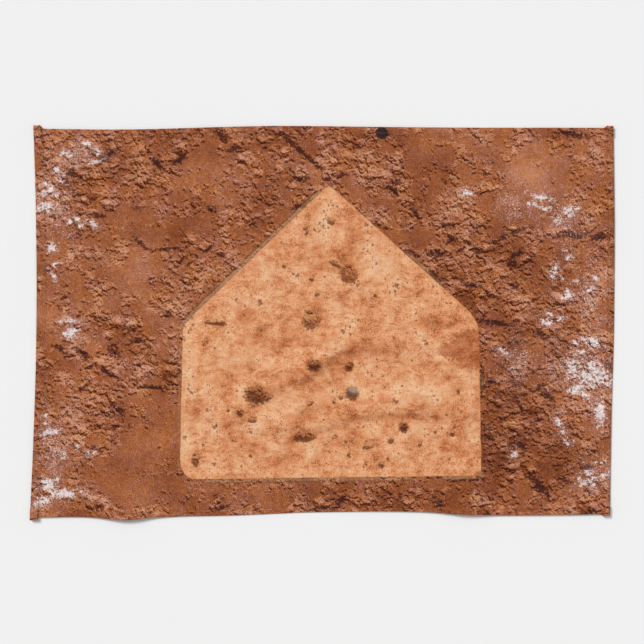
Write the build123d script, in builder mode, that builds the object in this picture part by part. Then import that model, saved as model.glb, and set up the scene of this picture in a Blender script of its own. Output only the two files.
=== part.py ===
"""A hemmed kitchen towel, lying flat and face up.

The towel is one sheet of printed cloth. Its four margins are turned under twice and sewn down with a
lockstitch, so that each edge is three plies thick. The short sides are turned over the ends of the long
hems, so that each corner is a stack of nine plies, and its end stands a little past the long edge.
The cloth is cut apart at its folds here: the panel is its top ply, each hem is the two plies turned
under along one side, and each corner is all the plies that are folded together there.

Frame: X along the long sides, Y towards the top of the printed picture, Z up. The origin is on the
surface that the towel lies on, below its middle. Millimetres.
"""

import os

from build123d import *

# Driving dimensions
towel_width = 609.6  # 24 in, over the folds of the short sides
towel_height = 406.4  # 16 in, over the folds of the long sides
cloth_thick = 0.4
ply_gap = 0.06  # air left between two pressed plies
hem_width = 8.0  # finished width of the double-turned hem
corner_overhang = 1.6  # how far a corner's end stands past the long edge
seam_inset = 6.4  # from the finished edge to the line of stitches
stitch_pitch = 3.0
corner_stitches = 3  # stitches of a short side's seam that climb onto each corner
seam_end = 1.0  # from a long side's last stitch to the corner's square
thread_width = 0.28
thread_sunk = 0.1  # how deep a stitch presses into the cloth's face
thread_gap = 0.1  # between a thread's two legs, where it turns back inside the cloth
turn_clearance = 0.01  # from the middle of the cloth to each thread's turn
step_clearance = 0.02  # between a corner's end face and the stitch that climbs it

# Heights of the folded cloth
hem_plies = 3  # the panel and the two plies turned under it
hem_stack = hem_plies * cloth_thick + (hem_plies - 1) * ply_gap
corner_stack = hem_plies * hem_stack + (hem_plies - 1) * ply_gap  # a corner folds the whole hem over
panel_bottom = hem_stack - cloth_thick

half_width = towel_width / 2
half_height = towel_height / 2
leg_reach = thread_gap / 2 + thread_width  # from a needle hole to the far side of a thread's leg
UP = Vector(0, 0, 1)

# Each side's name, the direction inwards from its edge, and the distance of its edge from the middle.
SIDES = {
    "bottom": (Vector(0, 1, 0), half_height),
    "right": (Vector(-1, 0, 0), half_width),
    "top": (Vector(0, -1, 0), half_height),
    "left": (Vector(1, 0, 0), half_width),
}
LONG_SIDES = ("bottom", "top")
SHORT_SIDES = ("right", "left")

os.makedirs("parts", exist_ok=True)


def write(piece, name):
    """Labels a finished piece and writes it to a STEP file of its own."""
    piece.part.label = name
    export_step(piece.part, f"parts/{name}.step")


def across_edge(side, start):
    """The plane across an edge: X points inwards from the fold, Y is up, and Z runs along the edge."""
    inward, out = SIDES[side]
    along = inward.cross(UP)
    return Plane(origin=inward * -out + along * start, x_dir=inward, z_dir=along)


def make_fold(side, start, length, thick, top_layer):
    """A margin folded to the back twice, as a band of even thickness: down round the outer fold, in
    along the bottom, up round the inner fold, and back out to the raw edge between the two. top_layer
    adds the layer over them."""
    outer = (3 * thick + 2 * ply_gap) / 2  # the outer fold's radius goes over all three layers
    inner = (2 * thick + ply_gap) / 2  # the inner fold's radius goes over the two lower layers
    inner_x = hem_width - inner
    raw_edge = outer + 2 * ply_gap
    pitch = thick + ply_gap
    with BuildPart() as fold:
        with BuildSketch(across_edge(side, start)):
            with BuildLine():
                ThreePointArc((outer, 2 * outer), (0, outer), (outer, 0))
                Line((outer, 0), (inner_x, 0))
                ThreePointArc((inner_x, 0), (hem_width, inner), (inner_x, 2 * inner))
                Polyline((inner_x, 2 * inner), (raw_edge, 2 * inner), (raw_edge, pitch), (inner_x, pitch))
                ThreePointArc((inner_x, pitch), (hem_width - thick, inner), (inner_x, thick))
                Line((inner_x, thick), (outer, thick))
                ThreePointArc((outer, thick), (thick, outer), (outer, 2 * outer - thick))
                Line((outer, 2 * outer - thick), (outer, 2 * outer))
            make_face()
            if top_layer:
                with Locations((outer, 2 * pitch)):
                    Rectangle(hem_width - outer, thick, align=(Align.MIN, Align.MIN))
        extrude(amount=length)
    return fold


def make_panel():
    """The printed face: the top ply, from fold to fold, without the four squares of the corners."""
    fold = hem_stack / 2
    cut = hem_width - fold
    with BuildPart() as panel:
        with BuildSketch(Plane.XY.offset(panel_bottom)):
            Rectangle(towel_width - 2 * fold, towel_height - 2 * fold)
            with GridLocations(towel_width - 2 * fold - cut, towel_height - 2 * fold - cut, 2, 2):
                Rectangle(cut, cut, mode=Mode.SUBTRACT)
        extrude(amount=cloth_thick)
    return panel


def make_hem(side):
    """The two plies turned under along one side, between the corners."""
    straight = (towel_width if side in LONG_SIDES else towel_height) - 2 * hem_width
    return make_fold(side, -straight / 2, straight, cloth_thick, top_layer=False)


def make_corner(side, end):
    """A corner of a short side, where the end of the long hem is folded over with it. end is +1 or -1,
    along the side's own direction."""
    start = half_height - hem_width if end > 0 else -half_height - corner_overhang
    return make_fold(side, start, hem_width + corner_overhang, hem_stack, top_layer=True)


def spread_holes(half_length):
    """Needle holes spread evenly over a straight run, at about the stitch pitch."""
    count = round(2 * half_length / stitch_pitch)
    return [half_length * (2 * i / count - 1) for i in range(count + 1)]


def long_seam():
    """The holes of a long side's seam as (place, height of the cloth before it, and after it)."""
    return [(at, hem_stack, hem_stack) for at in spread_holes(half_width - hem_width - seam_end)]


def short_seam():
    """The same for a short side, whose seam climbs onto the corner's thicker cloth at both ends."""
    step = half_height - hem_width - leg_reach - step_clearance
    straight = spread_holes(step)
    onto = [step + i * stitch_pitch for i in range(1, corner_stitches + 1)]
    return (
        [(-at, corner_stack, corner_stack) for at in reversed(onto)]
        + [(straight[0], corner_stack, hem_stack)]
        + [(at, hem_stack, hem_stack) for at in straight[1:-1]]
        + [(straight[-1], hem_stack, corner_stack)]
        + [(at, corner_stack, corner_stack) for at in onto]
    )


def make_thread(side, seam, face):
    """One thread of a lockstitch, which runs along one face of the cloth and dips into each hole to turn
    back halfway through. face is +1 for the needle thread, on top, and -1 for the bobbin thread."""
    gap = thread_gap / 2
    outer, inner = [], []  # the thread's two long edges, seen from the side
    for at, before, after in seam:
        middle = min(before, after) / 2 + face * turn_clearance
        if face > 0:
            before, after = before - thread_sunk, after - thread_sunk
        else:
            before = after = thread_width
        rise = face * thread_width
        outer += [(at - gap, before + rise), (at - gap, middle + rise)]
        outer += [(at + gap, middle + rise), (at + gap, after + rise)]
        inner += [(at - leg_reach, before), (at - leg_reach, middle)]
        inner += [(at + leg_reach, middle), (at + leg_reach, after)]
    inward, out = SIDES[side]
    near_side = inward * (seam_inset + thread_width / 2 - out)
    along_seam = Plane(origin=near_side, x_dir=inward.cross(UP), z_dir=inward * -1)
    with BuildPart() as thread:
        with BuildSketch(along_seam):
            with BuildLine():
                # Both ends are cut off at the turn, so the first and last points are left out.
                Polyline(*outer[1:-1], *reversed(inner[1:-1]), close=True)
            make_face()
        extrude(amount=thread_width)
    return thread


write(make_panel(), "panel")

for side in SIDES:
    write(make_hem(side), f"{side}_hem")
    seam = long_seam() if side in LONG_SIDES else short_seam()
    write(make_thread(side, seam, +1), f"{side}_needle_thread")
    write(make_thread(side, seam, -1), f"{side}_bobbin_thread")

for side in SHORT_SIDES:
    for end in (-1, +1):
        towards_top = end * SIDES[side][0].cross(UP).Y > 0
        write(make_corner(side, end), f"{'top' if towards_top else 'bottom'}_{side}_corner")
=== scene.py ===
"""The looks of a printed kitchen towel that lies flat and face up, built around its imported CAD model.

The print is a picture of a worn home plate, set in red-brown dirt with chalk powder at both sides.
Lengths are in millimetres until a mesh is made, and the print is laid out as it is seen from above.
"""

import math
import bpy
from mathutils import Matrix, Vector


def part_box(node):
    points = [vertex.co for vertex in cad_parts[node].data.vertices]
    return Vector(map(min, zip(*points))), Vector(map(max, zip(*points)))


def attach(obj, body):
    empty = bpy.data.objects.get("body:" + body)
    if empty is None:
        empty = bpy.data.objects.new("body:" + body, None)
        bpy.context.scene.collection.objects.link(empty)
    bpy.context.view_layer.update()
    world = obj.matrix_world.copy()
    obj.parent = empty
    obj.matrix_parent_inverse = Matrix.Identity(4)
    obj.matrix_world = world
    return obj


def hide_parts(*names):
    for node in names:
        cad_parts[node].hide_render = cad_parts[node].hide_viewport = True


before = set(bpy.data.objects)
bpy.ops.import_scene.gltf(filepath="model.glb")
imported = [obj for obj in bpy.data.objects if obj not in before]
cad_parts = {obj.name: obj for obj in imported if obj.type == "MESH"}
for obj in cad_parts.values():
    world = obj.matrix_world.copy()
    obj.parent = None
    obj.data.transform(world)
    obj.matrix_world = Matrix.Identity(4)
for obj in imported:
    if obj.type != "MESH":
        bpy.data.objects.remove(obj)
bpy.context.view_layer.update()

from types import SimpleNamespace

import bmesh
import bpy
import numpy as np
from mathutils import Vector

MM = 0.001
BODY = "towel"

# --- The towel's sizes, from the CAD model ---


def box_mm(node):
    """A CAD node's lowest and highest corners in millimetres."""
    return [np.array(corner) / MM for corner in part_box(node)]


panel_low, panel_high = box_mm("panel")
side_low, side_high = box_mm("left_hem")
end_low, _ = box_mm("bottom_hem")
_, corner_high = box_mm("top_right_corner")
thread_low, thread_high = box_mm("left_needle_thread")

ply = panel_high[2] - panel_low[2]
half_width = -side_low[0]
half_height = -end_low[1]
hem_width = side_high[0] - side_low[0]
hem_stack = side_high[2]  # three plies
corner_stack = corner_high[2]  # nine plies
hem_fold = hem_stack / 2  # radius of a hem's outer fold
corner_fold = corner_stack / 2
overhang = corner_high[1] - half_height  # how far a corner's end stands past the long edge
thread_radius = (thread_high[0] - thread_low[0]) / 2
seam_inset = (thread_low[0] + thread_high[0]) / 2 + half_width
ply_gap = (hem_stack - 3 * ply) / 2

# --- The shape that the towel lies in ---


def smoothstep(value, start, stop):
    """0 before start, 1 after stop, and a smooth rise between them."""
    share = np.clip((value - start) / (stop - start), 0, 1)
    return share * share * (3 - 2 * share)


def smooth_line(*points):
    """A smooth curve through the points (x, y), in order of x, as a function of x."""
    x, y = np.array(points, float).T
    slope = np.gradient(y, x)

    def value(at):
        at = np.clip(at, x[0], x[-1])
        i = np.clip(np.searchsorted(x, at) - 1, 0, len(x) - 2)
        span = x[i + 1] - x[i]
        u = (at - x[i]) / span
        return ((1 + 2 * u) * (1 - u) ** 2 * y[i] + u * (1 - u) ** 2 * span * slope[i]
                + u * u * (3 - 2 * u) * y[i + 1] + u * u * (u - 1) * span * slope[i + 1])

    return value


# How far each edge lies outside its straight line, as (place along it, distance).
top_edge = smooth_line((-305, -0.5), (-230, -1.5), (-40, 2.3), (60, 1.2), (305, 0.3))
bottom_edge = smooth_line((-305, 3.8), (-235, 3.8), (-209, 6.2), (-170, 3.6), (-90, 1.4), (-10, -1.6),
                          (115, -1.7), (150, 0.5), (305, 0.2))
left_edge = smooth_line((-203, 5.0), (-130, 1.6), (-20, -1.6), (105, -1.4), (203, 1.2))
right_edge = smooth_line((-203, -4.0), (-110, -2.3), (0, 0.9), (100, 1.1), (203, 0.0))

# How much further than in the CAD model each corner's end stands past its long edge.
EXTRA_OVERHANG = {("top", "left"): 1.6, ("top", "right"): 0.2, ("bottom", "left"): 1.2,
                  ("bottom", "right"): -0.2}


def warp(flat):
    """Where points of the straight-edged towel lie in plan, as the towel was put down."""
    s, t = flat[:, 0], flat[:, 1]
    to_right = (np.clip(s, -half_width, half_width) / half_width + 1) / 2
    to_top = (np.clip(t, -half_height, half_height) / half_height + 1) / 2
    x = s + to_right * right_edge(t) - (1 - to_right) * left_edge(t)
    y = t + to_top * top_edge(s) - (1 - to_top) * bottom_edge(s)
    over_corner = smoothstep(np.abs(s), half_width - hem_width - 1, half_width - hem_width + 0.6)
    at_end = smoothstep(np.abs(t), half_height - hem_width - 1, half_height)
    extra = np.where(t > 0,
                     np.where(s < 0, EXTRA_OVERHANG["top", "left"], EXTRA_OVERHANG["top", "right"]),
                     np.where(s < 0, EXTRA_OVERHANG["bottom", "left"], EXTRA_OVERHANG["bottom", "right"]))
    y += np.sign(t) * (overhang + extra) * over_corner * at_end
    return np.stack([x, y], 1)


def to_line(at, points):
    """The distance from each place to a line through the points, negative on the line's right, and the
    share of the way along it."""
    best = np.full(len(at), 1e9)
    share = np.zeros(len(at))
    points = np.array(points, float)
    for i, (a, b) in enumerate(zip(points, points[1:])):
        u = np.clip(((at - a) @ (b - a)) / ((b - a) @ (b - a)), 0, 1)
        away = at - a - u[:, None] * (b - a)
        distance = np.linalg.norm(away, axis=1) * np.sign(away @ [a[1] - b[1], b[0] - a[0]] + 1e-9)
        nearer = np.abs(distance) < np.abs(best)
        best = np.where(nearer, distance, best)
        share = np.where(nearer, (i + u) / (len(points) - 1), share)
    return best, share


# Soft creases left in the cloth: each has a line, a height, and how far it spreads on the line's left and
# on its right.
CREASES = [
    ([(-105, -98), (-45, -66), (-15, -55), (12, -31), (40, -25), (110, -36)], 3.6, 24, 7),
    ([(-160, -90), (-70, -113), (0, -109), (45, -97), (75, -93), (145, -101), (190, -96)], 2.6, 22, 5),
    ([(-300, 60), (-210, 20), (-150, 40)], 1.6, 24, 12),
    ([(170, 120), (230, 60), (300, 40)], 1.5, 26, 13),
    ([(-250, 190), (-180, 120), (-90, 140)], 1.4, 22, 11),
    ([(20, 190), (60, 130), (150, 110)], 1.2, 24, 12),
    ([(190, -60), (240, -110), (290, -100)], 1.5, 22, 11),
    ([(-290, -130), (-230, -150), (-180, -196)], 1.7, 20, 10),
    ([(-60, -196), (0, -160), (90, -170)], 1.2, 16, 12),
]
# Where the bottom edge stands off the floor: its place along the edge, its height, its half width.
EDGE_LIFTS = [(-207, 4.4, 26), (150, 3.6, 22)]
LIFT_FADE = 30  # how far in from the edge such a lift reaches
# Low swells over the whole towel: the waves along X and Y per metre, the phase, and the height.
SWELLS = [
    (2.1, 1.3, 0.4, 0.35), (-1.2, 3.4, 1.9, 0.3), (4.3, -2.2, 3.1, 0.22), (5.9, 5.1, 5.0, 0.16),
    (-8.7, 3.9, 2.2, 0.1), (3.1, -9.8, 0.9, 0.1),
]


def lift(at):
    """How far the cloth stands off the floor, at places in plan."""
    x, y = at[:, 0], at[:, 1]
    height = np.zeros(len(at))
    for wave_x, wave_y, phase, high in SWELLS:
        height += high * (1 + np.sin(2 * math.pi * (wave_x * x + wave_y * y) * MM + phase))
    for points, high, left, right in CREASES:
        distance, share = to_line(at, points)
        spread = np.where(distance > 0, left, right)
        height += high * np.exp(-(distance / spread) ** 2) * np.sin(math.pi * np.clip(share, 0, 1)) ** 0.7
    for place, high, half in EDGE_LIFTS:
        from_edge = y + half_height
        height += high * np.exp(-((x - place) / half) ** 2 - (np.clip(from_edge, 0, None) / LIFT_FADE) ** 2)
    return height


HEM_PUFF = 0.16  # how much a hem swells halfway across
SEAM_DIP = 0.24  # how deep the seam's thread pulls the cloth in
SEAM_SPREAD = 0.6  # and how far from the thread


def top_height(flat):
    """How high the printed face lies over the cloth's own resting level, with the hems under it."""
    from_side = half_width - np.abs(flat[:, 0])
    from_end = half_height - np.abs(flat[:, 1])
    over_side = 1 - smoothstep(from_side, hem_width - 0.3, hem_width + 3)
    over_end = 1 - smoothstep(from_end, hem_width - 0.3, hem_width + 3)
    over_corner = ((1 - smoothstep(from_side, hem_width - 0.6, hem_width + 2))
                   * (1 - smoothstep(from_end, hem_width - 0.6, hem_width + 2)))
    height = (ply + (hem_stack - ply) * np.maximum(over_side, over_end)
              + (corner_stack - hem_stack) * over_corner)
    for distance in (from_side, from_end):
        inside = np.clip(distance / hem_width, 0, 1)
        height += HEM_PUFF * np.sin(math.pi * inside)
        height -= SEAM_DIP * np.exp(-((distance - seam_inset) / SEAM_SPREAD) ** 2)
    return height


def surface(flat):
    """The points of the printed face over places of the flat towel."""
    at = warp(flat)
    return np.column_stack([at, top_height(flat) + lift(at)])


# --- The print's layout ---

# Only the features that stand out are placed one by one. All that is smaller is strewn at random.
# A mark is an ellipse: the X and Y of its middle, half its length, half its width, and the angle in degrees
# from X to its length. A field is an ellipse too, with the number of marks strewn over it last.


def strewn(fields, size, slim, tilt, seed):
    """Marks strewn over fields. Their half length is about a size, slim is their width as a share of their
    length, and they turn up to a tilt in degrees away from X."""
    draw = np.random.default_rng(seed)
    marks = []
    for x, y, long, wide, turn, count in fields:
        cos, sin = math.cos(math.radians(turn)), math.sin(math.radians(turn))
        for _ in range(count):
            out, angle = math.sqrt(draw.uniform()), draw.uniform(0, 2 * math.pi)
            u, v = long * out * math.cos(angle), wide * out * math.sin(angle)
            half = size * draw.uniform(0.6, 1.5)
            marks.append((x + u * cos - v * sin, y + u * sin + v * cos, half,
                          half * slim * draw.uniform(0.7, 1.3), draw.uniform(-tilt, tilt)))
    return marks


# Chalk powder, at both sides: heaps, and the drifts that smaller patches lie in.
CHALK = [
    (-293, 120, 6, 5, 0), (-287, 78, 5, 4, 0), (-240, 168, 8, 2, 15), (-265, -12, 6, 5, 40),
    (-290, -118, 8, 3, 5), (-290, -172, 7, 6, -30), (-272, -182, 12, 4, 5), (-297, -190, 8, 4, 20),
    (150, 135, 4, 3, 0), (230, 130, 10, 3, -10), (257, 115, 5, 6, 0), (243, 52, 3, 8, -15),
    (285, -23, 9, 4, -25), (284, -58, 20, 9, 0), (263, -50, 6, 11, 25), (266, -72, 7, 5, 0),
    (291, -97, 5, 12, 0), (247, -108, 3, 6, 30), (200, -140, 3, 4, 0), (297, -162, 6, 3, 20),
    (277, -170, 8, 3, 20),
]
CHALK_DRIFTS = [
    (-240, 175, 45, 12, 0, 6), (-285, 145, 12, 18, -25, 7), (-265, 102, 28, 7, 5, 5),
    (-278, 50, 10, 15, 0, 3), (-268, -12, 12, 18, 0, 3), (-288, -100, 10, 20, 0, 4),
    (-268, -138, 28, 14, 0, 7), (-288, -178, 16, 20, 0, 8), (215, 125, 32, 8, -8, 5),
    (256, 110, 12, 16, -40, 4), (252, 48, 18, 26, 0, 7), (285, 38, 14, 10, 0, 3),
    (238, -2, 12, 14, 0, 5), (280, -28, 22, 14, 0, 5), (276, -62, 24, 22, 0, 8),
    (190, -40, 10, 16, 0, 4), (290, -105, 8, 16, 0, 4), (255, -122, 8, 12, 0, 3),
    (282, -158, 20, 16, 0, 8),
]
CHALK += strewn(CHALK_DRIFTS, 3.6, 0.5, 50, seed=3)

# Dark cracks and hollows in the dirt.
CRACKS = [
    (-232, 171, 9, 3, 5), (-200, 117, 7, 3, 0), (-165, 76, 22, 1.5, 5), (-175, 165, 8, 3, -45),
    (-193, 82, 12, 2, -45), (-222, -32, 7, 4, -35), (-178, -70, 20, 2, -5), (-195, -20, 8, 3, -10),
    (-25, 122, 10, 3, 20), (-118, 117, 7, 2, -35), (95, 115, 8, 3, -55), (118, 72, 12, 3, -5),
    (128, 102, 9, 3, -15), (162, 73, 5, 4, 0), (155, 38, 9, 3, -10), (117, 47, 8, 3, -45),
    (198, 60, 5, 4, 0), (180, -2, 18, 3, -5), (228, -14, 8, 3, -30), (235, -78, 8, 3, -40),
    (205, -87, 12, 2, -60), (166, -63, 15, 1.5, 90), (225, -172, 19, 4, -48), (262, 90, 16, 3, 0),
    (290, 89, 11, 4, 5), (260, 197, 16, 3, -8), (155, -167, 18, 1.5, 3), (-23, 178, 31, 2.5, -42),
    (-25, 149, 10, 2.5, -5), (-152, 170, 8, 3, 40), (-108, 195, 9, 3, -50),
]
CRACK_FIELDS = [
    (-225, 150, 70, 40, 0, 12), (-130, 58, 50, 16, 20, 7), (-245, 0, 50, 50, 0, 9),
    (-225, -110, 45, 60, 0, 8), (-60, 165, 70, 25, 0, 6), (80, 160, 100, 25, 0, 7),
    (175, 65, 60, 40, 0, 13), (200, -80, 45, 60, 0, 13), (0, -190, 170, 9, 0, 9),
    (270, -150, 30, 40, 0, 4),
]
CRACKS += strewn(CRACK_FIELDS, 6.0, 0.3, 45, seed=8)

# Clods of dirt that catch the light.
CLODS = [
    (-228, -106, 12, 6, 0), (-150, 182, 8, 6, 0), (-203, -3, 9, 5, 0), (-187, -53, 8, 5, 0),
    (-163, -52, 10, 6, 0), (-240, -190, 10, 6, 0), (-165, 13, 6, 6, 0), (138, 112, 12, 8, 0),
    (112, 76, 4, 6, 0), (240, -9, 9, 7, 0), (222, -88, 8, 8, 0), (277, -190, 11, 9, 0),
    (172, -195, 10, 8, 0), (250, 24, 10, 5, -20),
]
CLOD_FIELDS = [
    (-230, 150, 60, 40, 0, 6), (-235, -50, 50, 60, 0, 6), (-60, 165, 80, 25, 0, 5),
    (175, 80, 50, 60, 0, 8), (215, -120, 45, 50, 0, 5),
]
CLODS += strewn(CLOD_FIELDS, 5.0, 0.75, 40, seed=21)

# The black hole in the dirt near the top edge.
HOLE = (61, 198, 6, 6, 0)

# What lies on the plate: a stone, dark clods, and paler ones that are pressed flat.
STONE = (30, -75, 7, 6, -20)
DARK_LUMPS = [
    (-71, -77, 12, 8, -10), (-10, -46, 7, 5, 0), (-20, -121, 11, 4, 5), (26, 50, 9, 7, -30),
    (84, -111, 5, 4, -45), (27, -47, 4, 4, 0), (-88, -95, 4, 3, -40),
]
LUMPS = [
    (-13, 3, 9, 10, 0), (12, 62, 8, 2, -25), (-75, -102, 5, 3, 0), (71, -124, 3, 3, 0),
    (47, -129, 6, 4, 15), (-135, -145, 4, 6, 0), (-113, 0, 12, 2, -5), (8, 107, 5, 3, -20),
    (61, -149, 3, 4, 0), (142, -72, 2, 3, 0),
]
LUMPS += strewn([(0, -115, 140, 40, 0, 22), (10, 60, 60, 50, 0, 8)], 2.2, 0.7, 60, seed=5)

# Where the plate is stained darker, and where it is worn paler.
STAINS = [
    (35, 87, 12, 18, 0), (-15, -55, 45, 9, 25), (35, -30, 30, 9, 0), (-13, 10, 16, 14, 0),
    (-85, 5, 10, 10, 0), (-60, -20, 24, 8, 0), (115, -2, 26, 7, 0), (85, -102, 60, 4, 2),
    (-40, -143, 14, 8, 0), (-95, -125, 20, 8, 0), (140, -135, 14, 7, 0), (-138, -98, 8, 5, 0),
]
STAINS += strewn([(0, -70, 150, 85, 0, 26), (0, 60, 60, 60, 0, 8)], 9.0, 0.65, 40, seed=12)
PALE = [
    (-62, 55, 9, 15, 0), (-2, 102, 9, 15, 0), (62, 55, 18, 14, 0), (-142, -50, 7, 30, 0),
    (-145, -125, 6, 22, 0), (-35, -90, 24, 7, 0), (100, -75, 30, 12, 0), (155, -62, 7, 10, 0),
    (155, -118, 6, 22, 0), (-95, -42, 22, 7, 0),
]
PALE += strewn([(0, -70, 150, 85, 0, 18), (0, 60, 60, 60, 0, 6)], 9.0, 0.6, 40, seed=31)

# Where the dirt is smooth, and where it is rougher than elsewhere.
SMOOTH = [
    (-198, 52, 26, 20, 0), (-183, -127, 34, 40, 0), (108, 172, 20, 30, 0), (225, 150, 38, 24, -20),
    (-188, -177, 60, 16, 0), (-150, 96, 20, 10, 10), (-205, 110, 24, 10, -20), (-120, 170, 16, 20, -40),
    (105, 86, 14, 9, 10), (-60, -190, 40, 10, 0), (220, -40, 16, 14, 0), (-290, 20, 12, 22, 0),
    (200, 120, 30, 16, 10),
]
ROUGH = [
    (-230, 165, 60, 30, -10), (190, 30, 40, 60, 20), (-120, 50, 50, 18, 15), (260, -40, 40, 60, 0),
    (200, -110, 40, 50, 0), (-240, -90, 40, 30, 0), (160, 60, 40, 30, -10), (-290, 150, 20, 50, 0),
    (60, 160, 60, 20, -30), (0, -192, 90, 10, 0),
]
# Where grains of chalk are strewn over the dirt.
CHALK_FIELDS = [
    (268, -45, 32, 50, 90), (250, 110, 40, 26, -30), (280, 30, 22, 44, 0), (285, -160, 24, 26, 0),
    (-284, -140, 20, 50, 0), (-280, 120, 20, 46, 10), (-262, 175, 36, 18, 0), (200, 120, 22, 26, 0),
    (205, -45, 26, 34, 0),
]
# Broad shade and light: places, half widths, half heights, and how much darker or lighter.
# The last three darken the plate along the first two creases, as painted crease shade over the stains that
# lie there.
SHADES = [
    (190, -130, 60, 50, -0.75), (200, -30, 60, 50, -0.35), (60, -188, 170, 16, -0.5),
    (160, 50, 40, 40, -0.5), (0, 185, 90, 18, -0.25), (-150, 175, 60, 25, -0.15),
    (225, 160, 55, 35, 0.75), (-285, -40, 30, 180, 0.15), (-290, 130, 26, 60, 0.1),
    (280, -30, 30, 60, 0.1), (-200, 50, 40, 28, 0.5), (150, 190, 60, 18, 0.1),
    (-190, -125, 40, 40, 0.15), (178, -26, 12, 20, 0.5), (-30, -64, 36, 9, -0.45),
    (22, -38, 34, 9, -0.4), (60, -101, 60, 5, -0.4),
]

# The home plate's outline.
PLATE = [(5, 144), (-149, -4), (-152, -154), (-148, -162), (-140, -167), (166, -163), (163, -5), (157, 7)]
PLATE_ROUNDING = 1.6  # how softly its corners turn
# Where the plate's raised rim still shows: lines with the rim's strength and reach.
RIMS = [
    ([(-8, 131), (-100, 44)], 1.0, 9), ([(-100, 44), (-149, -2)], 0.75, 8),
    ([(-152, -30), (-152, -150)], 0.45, 8), ([(-120, -168), (20, -168)], 0.6, 7),
    ([(30, -167), (90, -166)], 0.55, 6), ([(130, -164), (172, -163)], 0.6, 6),
    ([(95, 70), (125, 40)], 0.6, 6), ([(166, -56), (166, -70)], 0.5, 5),
]
# Dirt that has run over the plate's edge.
SPILLS = [(162, -30, 26, 17, 0), (138, -30, 14, 8, 0), (165, -163, 6, 5, 0)]
# Light scratches in the plate.
SCRATCHES = [(5, -58, 12, 1.5, -60), (15, -76, 9, 1.5, -60), (-72, -54, 7, 1, 35), (-45, -50, 12, 1, 30)]
SHADOW_SHIFT = [0.6, 2.6]  # from a place in a clod's shadow towards the clod
LUMP_SHADE = 1.6  # how much darker a dark clod on the plate is


def marked(at, marks, spread=2.0):
    """How deep each place lies in the nearest mark: 1 at its middle, and 0 from spread times its size."""
    best = np.zeros(len(at))
    for x, y, long, wide, turn in marks:
        u, v = at[:, 0] - x, at[:, 1] - y
        cos, sin = math.cos(math.radians(turn)), math.sin(math.radians(turn))
        distance = np.hypot((u * cos + v * sin) / long, (v * cos - u * sin) / wide)
        best = np.maximum(best, 1 - distance / spread)
    return best


def outside_plate(at):
    """The signed distance to the plate's outline, positive outside, with its corners a little rounded."""
    corners = np.array(PLATE, float)
    total = np.zeros(len(at))
    for a, b in zip(corners, np.roll(corners, -1, axis=0)):
        along = (b - a) / np.linalg.norm(b - a)
        outward = np.array([along[1], -along[0]])
        total += np.exp(np.clip((at - a) @ outward, -150, 150) / PLATE_ROUNDING)
    return PLATE_ROUNDING * np.log(total)


def paint(at):
    """What the print shows at each place, as the layers that its material reads."""
    clods = CLODS + LUMPS + DARK_LUMPS + [STONE]
    rim = np.zeros(len(at))
    for line, strength, reach in RIMS:
        distance, _ = to_line(at, line)
        rim = np.maximum(rim, strength * (1 - smoothstep(np.abs(distance), reach * 0.6, reach)))
    shade = np.zeros(len(at))
    for x, y, wide, high, amount in SHADES:
        shade += amount * np.exp(-((at[:, 0] - x) / wide) ** 2 - ((at[:, 1] - y) / high) ** 2)
    shade -= LUMP_SHADE * smoothstep(marked(at, DARK_LUMPS), 0.1, 0.7)
    return {
        "chalk": marked(at, CHALK, 2.6),
        "powder": np.maximum(marked(at, CHALK, 6.0), marked(at, CHALK_FIELDS)),
        "crack": marked(at, CRACKS),
        "clod": marked(at, clods),
        "under_clod": marked(at + SHADOW_SHIFT, clods),
        "stain": marked(at, STAINS, 1.6),
        "pale": marked(at, PALE, 1.6),
        "scratch": marked(at, SCRATCHES),
        "spill": marked(at, SPILLS, 1.6),
        "rough": np.clip(0.5 + 0.6 * marked(at, ROUGH, 1.5) - 0.9 * marked(at, SMOOTH, 1.5)
                         + 2 * marked(at, clods), 0, 1),
        "shade": shade,
        "stone": marked(at, [STONE]),
        "hole": marked(at, [HOLE]),
        "plate": np.clip(outside_plate(at), -40, 40),
        "rim": rim,
    }


# --- Meshes ---


def make_piece(name, points, faces, print_at, printed, material, node):
    """One piece of the towel, which replaces a CAD node."""
    mesh = bpy.data.meshes.new(name)
    mesh.from_pydata((points * MM).tolist(), [], faces)
    shape = bmesh.new()
    shape.from_mesh(mesh)
    bmesh.ops.recalc_face_normals(shape, faces=shape.faces)
    shape.to_mesh(mesh)
    shape.free()
    mesh.shade_smooth()
    mesh.set_sharp_from_angle(angle=math.radians(50))
    for title, values in paint(print_at).items():
        mesh.attributes.new(title, "FLOAT", "POINT").data.foreach_set("value", values)
    places = np.column_stack([print_at, points[:, 2]])
    mesh.attributes.new("place", "FLOAT_VECTOR", "POINT").data.foreach_set("vector", places.ravel())
    mesh.attributes.new("printed", "FLOAT", "POINT").data.foreach_set("value", printed)
    mesh.materials.append(material)
    piece = bpy.data.objects.new(name, mesh)
    bpy.context.scene.collection.objects.link(piece)
    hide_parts(node)
    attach(piece, BODY)
    return piece


def grid_faces(index):
    """The faces between the points of a grid, from their numbers."""
    corners = [index[:-1, :-1], index[:-1, 1:], index[1:, 1:], index[1:, :-1]]
    return np.stack(corners, -1).reshape(-1, 4).tolist()


GRID_STEP = 2.0
# How far from its edge the cloth's grid has its lines over a hem, where it is stepped and sewn.
OVER_HEM = np.array([0, 0.5, 1.4, 2.6, 3.8, 4.9, 5.6, 6.0, 6.4, 6.8, 7.2, 7.7, 8.2, 8.8, 9.5, 10.3,
                     11.2, 12.4])


def grid_lines(half):
    """Places across the towel from fold to fold, close over the hems and evenly spaced between them."""
    edge = half - hem_fold
    inner = edge - OVER_HEM[-1]
    count = 2 * round(inner / GRID_STEP)
    between = np.linspace(-inner, inner, count + 1)[1:-1]
    return np.concatenate([OVER_HEM - edge, between, (edge - OVER_HEM)[::-1]])


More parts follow.
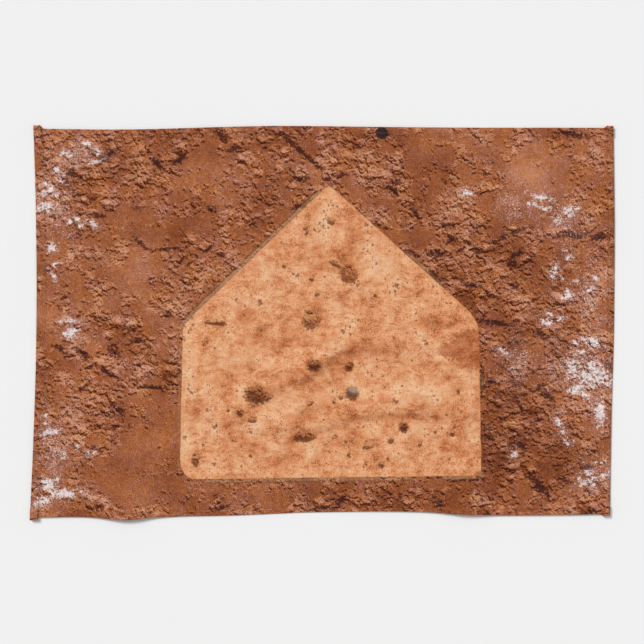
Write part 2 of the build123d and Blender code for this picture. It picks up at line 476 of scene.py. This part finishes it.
def kept_lines(lines):
    """Which lines the underside keeps: all over the hems, and every second one between them."""
    over_hem = len(OVER_HEM)
    return [i for i in range(len(lines)) if i < over_hem or i >= len(lines) - over_hem
            or (i - over_hem) % 2 == 1]


def make_sheet(material):
    """The printed cloth: its face, a coarser underside one ply below, and the rim between them."""
    across, up = grid_lines(half_width), grid_lines(half_height)
    s, t = np.meshgrid(across, up)
    flat = np.column_stack([s.ravel(), t.ravel()])
    from_side = half_width - np.abs(flat[:, 0])
    at_corner = 1 - smoothstep(half_height - np.abs(flat[:, 1]), hem_width - 0.6, hem_width + 2)
    tuck = (corner_fold - hem_fold) * at_corner * (1 - smoothstep(from_side, hem_fold, 6.0))
    flat[:, 0] -= np.sign(flat[:, 0]) * tuck
    face = surface(flat)

    wide, high = len(across), len(up)
    index = np.arange(wide * high).reshape(high, wide)
    columns, rows = kept_lines(across), kept_lines(up)
    under_of = index[np.ix_(rows, columns)]
    under_index = wide * high + np.arange(under_of.size).reshape(under_of.shape)
    under = face[under_of.ravel()] - [0, 0, ply]
    faces = grid_faces(index) + grid_faces(under_index.T)

    # Triangles between each edge of the face and the same edge of the underside. The kept lines are the
    # same from either end.
    for turn, kept in enumerate((columns, rows, columns, rows)):
        top = np.rot90(index, turn)[0].tolist()
        low = np.rot90(under_index, turn)[0].tolist()
        for k, (a, b) in enumerate(zip(kept, kept[1:])):
            middle = (a + b) // 2
            faces.extend([top[j], low[k], top[j + 1]] for j in range(a, middle))
            faces.append([top[middle], low[k], low[k + 1]])
            faces.extend([top[j], low[k + 1], top[j + 1]] for j in range(middle, b))

    points = np.concatenate([face, under])
    printed = np.concatenate([np.ones(len(face)), np.zeros(len(under))])
    return make_piece("printed_sheet", points, faces, points[:, :2], printed, material, "panel")


# A side's name, its outward direction and its half length.
SIDES = {"bottom": ((0, -1), half_width), "right": ((1, 0), half_height),
         "top": ((0, 1), half_width), "left": ((-1, 0), half_height)}


def on_side(side, inward, along):
    """Places of the flat towel, from distances in from one edge and places along it."""
    outward, _ = SIDES[side]
    out = (half_height if outward[1] else half_width) - inward
    if outward[1]:
        return np.column_stack([along, outward[1] * out])
    return np.column_stack([outward[0] * out, along])


def arc(centre, radius, start, stop, count):
    """Points round a centre, with angles in degrees, where 0 points inwards and 90 points up."""
    turn = np.radians(np.linspace(start, stop, count))
    return np.column_stack([centre[0] + radius * np.cos(turn), centre[1] + radius * np.sin(turn)])


# The bottom ply's places in from the edge, and how high the bobbin thread's pull lifts it at each.
BOTTOM_IN = np.array([1.6, 3.0, 4.4, 5.4, 5.9, 6.4, 6.9])
BOTTOM_RISE = np.array([0, 0, 0, 0.04, 0.1, 0.14, 0.08])


def fold_line(thick, gap):
    """The middle of a margin's cloth from the top of its outer fold, as (inward, up): down round that
    fold, in along the bottom, up round the inner fold, and back out to the raw edge."""
    outer = (3 * thick + 2 * gap) / 2
    inner = (2 * thick + gap) / 2
    inner_start = hem_width - inner
    rise = BOTTOM_RISE if thick == ply else 0 * BOTTOM_RISE
    keep = (BOTTOM_IN > outer + 0.3) & (BOTTOM_IN < inner_start - 0.2)
    middle = 3 * thick / 2 + gap
    back = np.array([[5.6, middle], [4.0, middle], [2.5, middle], [outer + 0.25, middle]])
    return np.concatenate([
        arc((outer, outer), outer - thick / 2, 90, 270, 9),
        np.column_stack([BOTTOM_IN, thick / 2 + rise])[keep],
        arc((inner_start, inner), inner - thick / 2, -90, 90, 7),
        back[back[:, 0] < inner_start - 0.2],
    ])


def normals_of(line):
    """Unit normals along a line, on its left."""
    along = np.gradient(line, axis=0)
    along /= np.linalg.norm(along, axis=1)[:, None]
    return np.column_stack([-along[:, 1], along[:, 0]])


def make_band(name, side, node, line, half_thick, stations, shrink, material, rise=None):
    """A folded margin: the line of its cloth's middle, thickened and carried along one side.
    half_thick is half the cloth's thickness at each point of the line, and shrink scales it at each
    station along the side. rise scales the fold's height at each station."""
    normals = normals_of(line)
    outward, _ = SIDES[side]
    length = np.concatenate([[0], np.cumsum(np.linalg.norm(np.diff(line, axis=0), axis=1))])
    count, points, print_at, printed = len(line), [], [], []
    for k, along in enumerate(stations):
        for face in (-1, 1):
            section = line - face * normals * (half_thick * shrink[k])[:, None]
            inward, height = section[:, 0], np.maximum(section[:, 1], 0)
            flat = on_side(side, inward, np.full(count, along))
            at = warp(flat)
            if rise is not None:
                height = height * rise[k]
            points.append(np.column_stack([at, height + lift(at)]))
            edge = warp(on_side(side, np.zeros(count), np.full(count, along)))
            print_at.append(edge + np.array(outward) * (length - line[0, 0])[:, None])
            printed.append(np.full(count, 1.0 if face > 0 else 0.0))
    ring = 2 * count
    around = [*range(count), *range(ring - 1, count - 1, -1), 0]
    faces = grid_faces(np.arange(ring * len(stations)).reshape(-1, ring)[:, around])
    last = (len(stations) - 1) * ring
    for i in range(count - 1):
        faces.append([i, count + i, count + i + 1, i + 1])
        faces.append([last + i, last + i + 1, last + count + i + 1, last + count + i])
    points, print_at = np.concatenate(points), np.concatenate(print_at)
    return make_piece(name, points, faces, print_at, np.concatenate(printed), material, node)


def make_hem(side, material):
    """The two plies turned under along one side, from corner to corner."""
    _, half_length = SIDES[side]
    straight = half_length - hem_width + 0.4
    stations = np.linspace(-straight, straight, 2 * round(straight / GRID_STEP) + 1)
    line = fold_line(ply, ply_gap)
    middle = on_side(side, np.full(len(stations), hem_width / 2), stations)
    rise = top_height(middle) / (hem_stack + HEM_PUFF)
    return make_band(f"{side}_hem_cloth", side, f"{side}_hem", line, np.full(len(line), ply / 2),
                     stations, np.ones(len(stations)), material, rise)


def make_corner(side, end, material):
    """A corner of a short side, where the end of the long hem is folded over with it. The long hem's own
    fold rounds off the corner's end."""
    edge = "top" if end > 0 else "bottom"
    fold = fold_line(hem_stack, ply_gap)
    over = corner_stack - ply - (hem_stack - ply) / 2  # the middle of the two plies under the printed one
    top_layer = np.array([[7.6, over], [6.0, over], [4.2, over], [corner_fold + 0.3, over]])
    line = np.concatenate([top_layer, fold])
    half_thick = np.full(len(line), hem_stack / 2)
    half_thick[:len(top_layer)] = (hem_stack - ply) / 2
    start = half_height - hem_width
    straight = np.linspace(start, half_height - hem_stack / 2, 5)[:-1]
    round_off = np.radians([0, 20, 40, 60, 75, 88])
    end_of_fold = half_height - hem_stack / 2 + np.sin(round_off) * hem_stack / 2
    stations = np.concatenate([straight, end_of_fold])
    shrink = np.concatenate([np.ones(len(straight)), np.cos(round_off)])
    if end < 0:
        stations, shrink = -stations[::-1], shrink[::-1]
    return make_band(f"{edge}_{side}_corner_cloth", side, f"{edge}_{side}_corner", line, half_thick,
                     stations, shrink, material)


THREAD_TWIST = 1.3  # the length of one turn of the thread's two strands
THREAD_SIDES = 8
STITCH_PITCH = 3.0
# A stitch from hole to hole: shares of its length, and how far out of the cloth the thread is at each.
STITCH_SHARE = np.array([0, 0.06, 0.15, 0.3, 0.5, 0.7, 0.85, 0.94])
STITCH_OUT = np.array([0, 0.55, 0.95, 1.0, 1.0, 1.0, 0.95, 0.55])


def make_thread(side, face, holes, material):
    """One thread of a lockstitch along a side. face is 1 for the needle thread, on top, and -1 for the
    bobbin thread, underneath. It runs along the cloth from hole to hole and dips into each."""
    name = "needle" if face > 0 else "bobbin"
    along = np.concatenate([a + (b - a) * STITCH_SHARE for a, b in zip(holes, holes[1:])] + [holes[-1:]])
    out_of_cloth = np.concatenate([np.tile(STITCH_OUT, len(holes) - 1), [0]])
    flat = on_side(side, np.full(len(along), seam_inset), along)
    at = warp(flat)
    top = top_height(flat)
    outside = top + 0.5 * thread_radius if face > 0 else np.full(len(top), thread_radius)
    path = np.column_stack([at, top / 2 + (outside - top / 2) * out_of_cloth + lift(at)])

    tangent = np.gradient(path, axis=0)
    tangent /= np.linalg.norm(tangent, axis=1)[:, None]
    sideways = np.cross(tangent, [0, 0, 1])
    sideways /= np.linalg.norm(sideways, axis=1)[:, None]
    upwards = np.cross(sideways, tangent)
    run = np.concatenate([[0], np.cumsum(np.linalg.norm(np.diff(path, axis=0), axis=1))])
    turn = 2 * math.pi * np.arange(THREAD_SIDES) / THREAD_SIDES
    twist = 2 * math.pi * run[:, None] / THREAD_TWIST
    radius = thread_radius * (0.92 + 0.12 * np.cos(2 * turn[None] - twist))
    rings = (path[:, None] + radius[..., None] * (np.cos(turn)[None, :, None] * sideways[:, None]
                                                  + np.sin(turn)[None, :, None] * upwards[:, None]))
    index = np.arange(len(path) * THREAD_SIDES).reshape(-1, THREAD_SIDES)
    faces = grid_faces(np.column_stack([index, index[:, 0]]))
    faces += [index[0, ::-1].tolist(), index[-1].tolist()]
    points = rings.reshape(-1, 3)
    return make_piece(f"{side}_{name}_stitches", points, faces, points[:, :2], np.ones(len(points)),
                      material, f"{side}_{name}_thread")


def seam_holes(side):
    """The needle holes of a side's seam: the long seams stop short of the corners, and the short ones
    climb onto them."""
    _, half_length = SIDES[side]
    end = half_length - hem_width - 1.0 if side in ("top", "bottom") else half_length + 0.4
    count = round(2 * end / STITCH_PITCH)
    return np.linspace(-end, end, count + 1)


# --- Materials ---


def srgb(red, green, blue):
    """A colour from its 0 to 255 display values."""
    def linear(value):
        value /= 255
        return value / 12.92 if value <= 0.04045 else ((value + 0.055) / 1.055) ** 2.4
    return (linear(red), linear(green), linear(blue), 1)


def add_node(tree, kind, inputs, output=0, **settings):
    """Add a node with its settings, and link or set its inputs, given by their names or numbers. It gives
    back one of the node's outputs as a Value."""
    node = tree.nodes.new(kind)
    for key, value in settings.items():
        setattr(node, key, value)
    for key, value in inputs.items():
        if isinstance(value, Value):
            tree.links.new(value.socket, node.inputs[key])
        else:
            node.inputs[key].default_value = value
    return Value(node.outputs[output]) if node.outputs else None


def attribute(tree, name, output="Fac"):
    """What a mesh holds under a name."""
    return add_node(tree, "ShaderNodeAttribute", {}, output, attribute_name=name)


class Value:
    """A node's output to calculate with: each step adds a node to the same tree."""

    def __init__(self, socket):
        self.socket = socket
        self.tree = socket.id_data

    def math(self, operation, *others, clamp=False):
        return add_node(self.tree, "ShaderNodeMath", dict(enumerate([self, *others])),
                        operation=operation, use_clamp=clamp)

    def __add__(self, other):
        return self.math("ADD", other)

    def __sub__(self, other):
        return self.math("SUBTRACT", other)

    def __mul__(self, other):
        return self.math("MULTIPLY", other)

    def __truediv__(self, other):
        return self.math("DIVIDE", other)

    def inverse(self):
        """1 where this is 0, and 0 where it is 1."""
        return add_node(self.tree, "ShaderNodeMath", {0: 1.0, 1: self}, operation="SUBTRACT")

    def step(self, start, stop):
        """0 below start, 1 above stop and smooth between them; start may be the greater one."""
        return add_node(self.tree, "ShaderNodeMapRange", {0: self, 1: start, 2: stop, 3: 0.0, 4: 1.0},
                        interpolation_type="SMOOTHSTEP")

    def band(self, start, full, fade, stop):
        """1 from full to fade, 0 below start and above stop, and smooth between them."""
        return self.step(start, full) * self.step(stop, fade)

    def vector(self, operation, other):
        return add_node(self.tree, "ShaderNodeVectorMath", {0: self, 1: other}, operation=operation)

    def noise(self, size, detail=3.0, roughness=0.55, output=0):
        """Noise round 0 over this place, with features of about a size in millimetres."""
        value = add_node(self.tree, "ShaderNodeTexNoise",
                         {"Vector": self, "Scale": 1 / size, "Detail": detail, "Roughness": roughness},
                         output, noise_dimensions="2D")
        return value if output else value * 2.0 - 1.0

    def wobbled(self, size, reach):
        """This place moved about by noise."""
        offset = self.noise(size, 2.0, output=1).vector("SUBTRACT", (0.5, 0.5, 0.5))
        return self.vector("ADD", offset.vector("MULTIPLY", (2 * reach, 2 * reach, 0)))

    def cells(self, size):
        """Random cells of about a size in millimetres: how far this place lies from its cell's middle, in
        shares of the size, and the cell's own random number."""
        colour = add_node(self.tree, "ShaderNodeTexVoronoi", {"Vector": self, "Scale": 1 / size}, "Color",
                          voronoi_dimensions="2D")
        distance = Value(colour.socket.node.outputs["Distance"])
        return distance, add_node(self.tree, "ShaderNodeSeparateColor", {0: colour})

    def mixed(self, share, other, blend="MIX"):
        """This colour with a share of another mixed in."""
        return add_node(self.tree, "ShaderNodeMix", {0: share, 6: self, 7: other}, 2, data_type="RGBA",
                        blend_type=blend)

    def ramp(self, stops):
        """A colour for this value, from stops (value, red, green, blue)."""
        colour = add_node(self.tree, "ShaderNodeValToRGB", {0: self})
        elements = colour.socket.node.color_ramp.elements
        while len(elements) < len(stops):
            elements.new(1)
        for element, (at, *shades) in zip(elements, stops):
            element.position = at
            element.color = srgb(*shades)
        return colour


# The dirt's clods: how far apart they lie, how high they look, and how rare they are.
SOIL_CLODS = [(14.0, 2.6, 1.16), (7.5, 2.3, 1.08), (4.2, 1.8, 1.0), (2.3, 1.1, 0.98)]


def soil_height():
    """A node group: how high the dirt in the print stands at a place, with clods of several sizes."""
    tree = bpy.data.node_groups.new("soil_height", "ShaderNodeTree")
    tree.interface.new_socket("place", in_out="INPUT", socket_type="NodeSocketVector")
    tree.interface.new_socket("rough", in_out="INPUT", socket_type="NodeSocketFloat")
    tree.interface.new_socket("height", in_out="OUTPUT", socket_type="NodeSocketFloat")
    entry = tree.nodes.new("NodeGroupInput")
    place, rough = Value(entry.outputs["place"]), Value(entry.outputs["rough"])
    moved = place.wobbled(8.0, 2.4).wobbled(2.0, 0.9)
    height = place.noise(18.0, 7.0, 0.62) * (rough * 1.9 + 0.8)
    for size, high, rarity in SOIL_CLODS:
        distance, chance = moved.cells(size)
        dome = (distance / (chance * 0.5 + 0.25)).inverse().math("MAXIMUM", 0.0).math("SQRT")
        present = (chance + rough * 0.6).step(rarity, rarity + 0.15)
        clod = (dome * 0.6 + chance * 0.55) * present
        height += clod * high
    leave = tree.nodes.new("NodeGroupOutput")
    tree.links.new(height.socket, leave.inputs["height"])
    return tree


TO_LIGHT = (0.28, 0.96)  # the way to the light in the print
# How far the dirt's height is compared, towards the light or away from it.
FACING_REACH = 0.8
SHADOW_REACH = 2.0
HOLLOW_REACH = 1.6


def dirt_tone(place, rough):
    """How bright the dirt is, about 0.5 on average, from slopes that face the light or lie in shadow."""
    soil = soil_height()
    rough = rough.math("ADD", place.noise(22.0, 4.0) * 1.3 - 0.06, clamp=True)

    def height(reach):
        at = place.vector("ADD", (TO_LIGHT[0] * reach, TO_LIGHT[1] * reach, 0))
        return add_node(place.tree, "ShaderNodeGroup", {"place": at, "rough": rough}, node_tree=soil)

    here = height(0.0)
    facing = (here - height(FACING_REACH)).math("MAXIMUM", -0.9).math("MINIMUM", 0.6)
    above = height(SHADOW_REACH) - here
    below = height(-HOLLOW_REACH) - here
    shadow = above.step(0.5, 1.7)
    hollow = above.math("MINIMUM", below).step(0.0, 0.9)
    grain = place.noise(0.9, 2.0, 0.8) * 0.8 + place.noise(4.0, 3.0, 0.7) * 0.2 + place.noise(50.0) * 0.3
    return facing * 0.28 + 0.56 + grain + here * 0.05 - (shadow * 0.38 + hollow * 0.24)


# The layers that paint gives to every mesh.
LAYERS = ("chalk", "powder", "crack", "clod", "under_clod", "stain", "pale", "scratch", "spill", "rough",
          "shade", "stone", "hole", "plate", "rim")


def spot_values(place):
    """What is known at each place of the print: its painted layers, noise of several sizes, and what both
    the dirt and the plate need of them."""
    spot = SimpleNamespace(place=place, **{name: attribute(place.tree, name) for name in LAYERS})
    spot.broad = place.noise(24.0, 4.0, 0.6)
    spot.middling = place.noise(9.0, 5.0, 0.66)
    spot.small = place.noise(3.4, 5.0, 0.68)
    spot.fine = place.noise(1.2, 3.0, 0.6)
    ragged = spot.small * 0.7 + spot.fine * 0.25

    # The clods that are laid out one by one, with the side away from the light in shade.
    spot.on_clod = (spot.clod + ragged * 0.6).step(0.44, 0.53)
    spot.shaded = (spot.under_clod + ragged * 0.6).step(0.44, 0.55) * spot.on_clod.inverse()
    spot.bulge = (spot.clod - spot.under_clod) * spot.on_clod

    spot.in_crack = (spot.crack + ragged * 1.5).step(0.34, 0.7) * spot.rough.step(0.0, 0.45)
    tone = dirt_tone(place, spot.rough) + spot.shade * 0.26 + spot.bulge * 0.9
    spot.tone = tone - (spot.in_crack * 0.48 + spot.shaded * 0.4)

    spot.outside = spot.plate + spot.small + spot.broad * 0.8
    spot.spilt = (spot.spill + ragged * 0.8).step(0.1, 0.38)
    return spot


# The print's colours, by how bright or how worn a place is.
DIRT_TONES = [
    (0.0, 70, 30, 16), (0.13, 98, 46, 24), (0.27, 122, 61, 32), (0.38, 140, 75, 40), (0.5, 158, 88, 46),
    (0.62, 176, 101, 56), (0.74, 194, 118, 72), (0.86, 212, 138, 92), (1.0, 226, 166, 126),
]
RED_DIRT_TONES = [
    (0.0, 60, 26, 20), (0.13, 88, 41, 29), (0.27, 112, 57, 39), (0.38, 130, 70, 48), (0.5, 148, 83, 57),
    (0.62, 165, 97, 68), (0.74, 182, 114, 86), (0.86, 202, 140, 116), (1.0, 222, 172, 152),
]
CHALK_TONES = [(0.3, 192, 150, 138), (0.7, 232, 206, 202), (1.0, 250, 238, 236)]
PLATE_TONES = [
    (0.0, 122, 60, 30), (0.15, 175, 96, 56), (0.3, 202, 122, 76), (0.4, 217, 138, 90),
    (0.5, 228, 151, 102), (0.6, 238, 164, 114), (0.75, 246, 180, 133), (1.0, 253, 204, 162),
]
LUMP_TONES = [(0.0, 64, 30, 18), (0.25, 104, 52, 28), (0.5, 166, 92, 50), (1.0, 222, 154, 104)]
STONE_TONES = [(0.0, 104, 66, 52), (0.35, 208, 176, 158)]
DUST_TONES = [(0.0, 124, 60, 32), (0.6, 184, 101, 58), (1.0, 212, 136, 90)]
RIM_TONES = [(0.1, 136, 92, 62), (0.9, 204, 160, 120)]
# What single features are tinted with.
CRACK_SHADE = srgb(56, 42, 46)
HOLE_SHADE = srgb(38, 36, 44)
HAZE_SHADE = srgb(206, 160, 150)
STAIN_SHADE = srgb(194, 108, 62)
PALE_SHADE = srgb(246, 208, 166)
SCRATCH_SHADE = srgb(244, 196, 146)
CRUMB_SHADE = srgb(130, 62, 32)
CLOD_SHADOW = srgb(104, 54, 32)
WORN_EDGE_SHADE = srgb(240, 168, 112)
GAP_SHADE = srgb(84, 44, 28)


def dirt_colour(spot):
    """Red-brown dirt, with chalk powder that lies on top and thins out into grains."""
    redder = spot.broad + spot.middling * 0.7 - spot.small * 0.7
    dirt = spot.tone.ramp(DIRT_TONES).mixed(redder.step(-0.5, 0.6), spot.tone.ramp(RED_DIRT_TONES))
    dirt = dirt.mixed(spot.in_crack * 0.32, CRACK_SHADE)
    hole = (spot.hole + spot.fine * 0.1).step(0.36, 0.52)
    dirt = dirt.mixed(hole * 0.92, HOLE_SHADE)

    heaps = (spot.chalk * 1.15 + spot.small * 0.75 + spot.fine * 0.5 + spot.middling * 0.3
             + (spot.tone - 0.5) * 0.3)
    grains = (spot.powder * 0.75 + spot.place.noise(1.5, 2.0) * 0.9 + spot.small * 0.5
              + spot.middling * 0.4)
    chalk = (heaps.step(0.65, 0.96) * 0.95).math("MAXIMUM", grains.step(0.7, 0.9) * 0.66)
    white = (spot.tone * 0.7 + chalk * 0.5).ramp(CHALK_TONES)
    haze = spot.powder.step(0.2, 1.0) * spot.middling.step(-0.5, 0.7)
    return dirt.mixed(haze * 0.14, HAZE_SHADE).mixed(chalk, white)


# How far apart the crumbs on the plate lie, and how rare they are.
PLATE_CRUMBS = [(8.0, 1.04), (4.6, 1.0), (2.6, 1.02)]


def plate_colour(spot):
    """The stained and worn plate, with crumbs, clods, a stone and spilt dirt on it."""
    patchy = spot.small * 1.5 + spot.middling * 1.3 + spot.fine * 0.8
    stain = (spot.stain + patchy).step(0.25, 0.75)
    pale = (spot.pale - patchy).step(0.3, 0.85)
    dusty = (spot.middling + spot.small * 0.6 + spot.fine * 0.6).step(0.15, 0.45)
    brushed = spot.place.wobbled(20.0, 4.0).vector("MULTIPLY", (1.0, 1.8, 1.0)).noise(9.0, 5.0, 0.7)
    worn = spot.broad * 0.5 + spot.middling * 0.42 + brushed * 0.46 + spot.small * 0.6 + spot.fine * 0.72
    # The shade layer brings painted crease shade into the plate's tone along the first two creases.
    worn = worn * 1.2 + 0.62 - stain * 0.17 + pale * 0.16 - dusty * 0.14 + spot.shade * 0.22
    plate = worn.ramp(PLATE_TONES).mixed(stain * 0.24, STAIN_SHADE).mixed(pale * 0.3, PALE_SHADE)
    scratch = (spot.scratch + spot.fine * 0.5).step(0.3, 0.6)
    plate = plate.mixed(scratch * 0.6, SCRATCH_SHADE)

    for size, rarity in PLATE_CRUMBS:
        distance, chance = spot.place.wobbled(size * 0.6, size * 0.3).cells(size)
        crumbs = distance.step(0.34, 0.2) * (chance + spot.broad * 0.9).step(rarity, rarity + 0.1)
        plate = plate.mixed(crumbs * 0.7, CRUMB_SHADE)
    lump = (spot.tone + spot.bulge * 0.3).ramp(LUMP_TONES)
    grey = (spot.bulge + spot.fine * 0.3).ramp(STONE_TONES)
    lump = lump.mixed(spot.stone.step(0.4, 0.55), grey)
    plate = plate.mixed(spot.on_clod * 0.9, lump).mixed(spot.shaded * 0.85, CLOD_SHADOW)

    worn_edge = spot.outside.step(-5.0, -2.5) * spot.small.step(-0.5, 0.4)
    plate = plate.mixed(worn_edge * 0.5, WORN_EDGE_SHADE)
    return plate.mixed(spot.spilt * 0.9, worn.ramp(DUST_TONES))


def print_colour(place):
    """The picture that is printed on the cloth. Where the dirt and the plate meet there is a dark seam,
    and along parts of it a beige rim with a dark gap beside it."""
    spot = spot_values(place)
    picture = dirt_colour(spot).mixed(spot.outside.step(0.3, -0.3), plate_colour(spot))
    rim = (spot.rim + spot.small * 0.5 + spot.fine * 0.3).step(0.3, 0.8)
    bevel = spot.outside.band(-0.2, 0.3, 3.0, 4.0)
    picture = picture.mixed(bevel * 0.75 * rim, (spot.tone + spot.fine * 0.5).ramp(RIM_TONES))
    gap = spot.outside.band(2.6, 3.6, 4.0, 5.4) * rim
    seam = spot.outside.math("ABSOLUTE").step(1.0, 0.1) * spot.spilt.inverse()
    seam *= spot.middling.step(-0.6, 0.4)
    return picture.mixed((gap * 0.4).math("MAXIMUM", seam * 0.38), GAP_SHADE)


WEAVE_PITCH = 0.75


def weave(place):
    """The cloth's plain weave as a height, and its thicker and thinner threads as streaks."""
    moved = place.wobbled(30.0, 0.5)
    across = add_node(place.tree, "ShaderNodeSeparateXYZ", {0: moved}, "X")
    up = add_node(place.tree, "ShaderNodeSeparateXYZ", {0: moved}, "Y")
    turn = math.pi / WEAVE_PITCH
    crossing = (across * turn).math("SINE") * (up * turn).math("SINE")
    height = crossing.math("ABSOLUTE") * (crossing.math("SIGN") * 0.15 + 0.85)
    streaks = (place.vector("MULTIPLY", (1.0, 0.02, 1.0)).noise(1.6, 2.0)
               + place.vector("MULTIPLY", (0.02, 1.0, 1.0)).noise(1.6, 2.0))
    return height, streaks


def new_material(name):
    """An empty material, and its node tree."""
    material = bpy.data.materials.new(name)
    material.use_nodes = True
    material.node_tree.nodes.clear()
    return material, material.node_tree


# Where the noise has its origin, well off the towel, since all of its layers are 0 there.
NOISE_ORIGIN = (731.0, 517.0, 0.0)
BACK_TONES = [(0.1, 218, 211, 201), (0.9, 240, 236, 229)]
STREAK_TONES = [(0.0, 232, 232, 232), (1.0, 255, 255, 255)]
SHOW_THROUGH = 0.07  # how much of the print shows on the back


def cloth_material():
    """Matt cotton, printed on its face and nearly white on its back, where the print shows through."""
    material, tree = new_material("printed_cloth")
    place = attribute(tree, "place", "Vector").vector("ADD", NOISE_ORIGIN)
    height, streaks = weave(place)
    streaked = (streaks * 0.25 + 0.5).ramp(STREAK_TONES)
    picture = print_colour(place).mixed(1.0, streaked, "MULTIPLY")
    bare = (streaks * 0.2 + 0.5 + place.noise(14.0) * 0.15).ramp(BACK_TONES)
    colour = bare.mixed(SHOW_THROUGH, picture).mixed(attribute(tree, "printed"), picture)
    bump = height * 0.10 + streaks * 0.03 + place.noise(5.0) * 0.1
    normal = add_node(tree, "ShaderNodeBump", {"Strength": 0.5, "Distance": MM, "Height": bump}, "Normal")
    surface = add_node(tree, "ShaderNodeBsdfPrincipled",
                       {"Base Color": colour, "Roughness": place.noise(7.0) * 0.06 + 0.9, "Normal": normal,
                        "Specular IOR Level": 0.06, "Sheen Weight": 0.02, "Sheen Roughness": 0.6})
    add_node(tree, "ShaderNodeOutputMaterial", {"Surface": surface})
    return material


THREAD_TONES = [(0.1, 104, 62, 42), (0.5, 136, 84, 60), (0.9, 168, 112, 84)]


def thread_material():
    """Brown polyester sewing thread with a fine twist and a slight sheen."""
    material, tree = new_material("sewing_thread")
    place = attribute(tree, "place", "Vector")
    fibres = place.vector("MULTIPLY", (1.0, 1.0, 4.0)).noise(0.3, 3.0)
    colour = (fibres * 0.35 + 0.5 + place.noise(20.0) * 0.2).ramp(THREAD_TONES)
    bump = fibres * 0.05
    normal = add_node(tree, "ShaderNodeBump", {"Strength": 0.6, "Distance": MM, "Height": bump}, "Normal")
    surface = add_node(tree, "ShaderNodeBsdfPrincipled",
                       {"Base Color": colour, "Roughness": fibres * 0.08 + 0.62, "Normal": normal,
                        "Specular IOR Level": 0.25, "Sheen Weight": 0.15})
    add_node(tree, "ShaderNodeOutputMaterial", {"Surface": surface})
    return material


FLOOR_SHADE = (0.916, 0.916, 0.916, 1)


def floor_material():
    """Plain pale paper."""
    material, tree = new_material("floor")
    surface = add_node(tree, "ShaderNodeBsdfDiffuse", {"Color": FLOOR_SHADE})
    add_node(tree, "ShaderNodeOutputMaterial", {"Surface": surface})
    return material


# --- The towel ---

printed_cloth = cloth_material()
sewing_thread = thread_material()
sheet = make_sheet(printed_cloth)
turned_under = [make_hem(side, printed_cloth) for side in SIDES]
turned_under += [make_corner(side, end, printed_cloth) for side in ("left", "right") for end in (-1, 1)]
for side in SIDES:
    for face in (1, -1):
        make_thread(side, face, seam_holes(side), sewing_thread)

# --- Floor, light and camera ---

# How far the middle of the view lies from the towel's middle, and how wide the view is.
VIEW_MIDDLE = (-2.1, -1.05)
VIEW_WIDTH = 679.2
LENS = 85.0
SENSOR = 36.0
SUN_STRENGTH = 2.2
SUN_ANGLE = 20  # how wide it looks, in degrees
SUN_AIM = (0.55, -0.55, -0.85)
SKY_STRENGTH = 0.44

bpy.ops.mesh.primitive_plane_add(size=40.0, location=(0, 0, 0))
floor = bpy.context.object
floor.name = "floor"
floor.data.materials.append(floor_material())

sun = bpy.data.lights.new("window_light", "SUN")
sun.energy = SUN_STRENGTH
sun.angle = math.radians(SUN_ANGLE)
lamp = bpy.data.objects.new("window_light", sun)
lamp.rotation_euler = Vector(SUN_AIM).to_track_quat("-Z", "Y").to_euler()
bpy.context.scene.collection.objects.link(lamp)

world = bpy.data.worlds.new("studio")
world.use_nodes = True
sky = world.node_tree.nodes["Background"]
sky.inputs["Color"].default_value = (1, 1, 1, 1)
sky.inputs["Strength"].default_value = SKY_STRENGTH
bpy.context.scene.world = world
bpy.context.scene.view_settings.view_transform = "Standard"

lens = bpy.data.cameras.new("camera")
lens.lens = LENS
lens.sensor_width = SENSOR
camera = bpy.data.objects.new("camera", lens)
camera.location = [VIEW_MIDDLE[0] * MM, VIEW_MIDDLE[1] * MM, VIEW_WIDTH * MM * LENS / SENSOR]
bpy.context.scene.collection.objects.link(camera)
bpy.context.scene.camera = camera
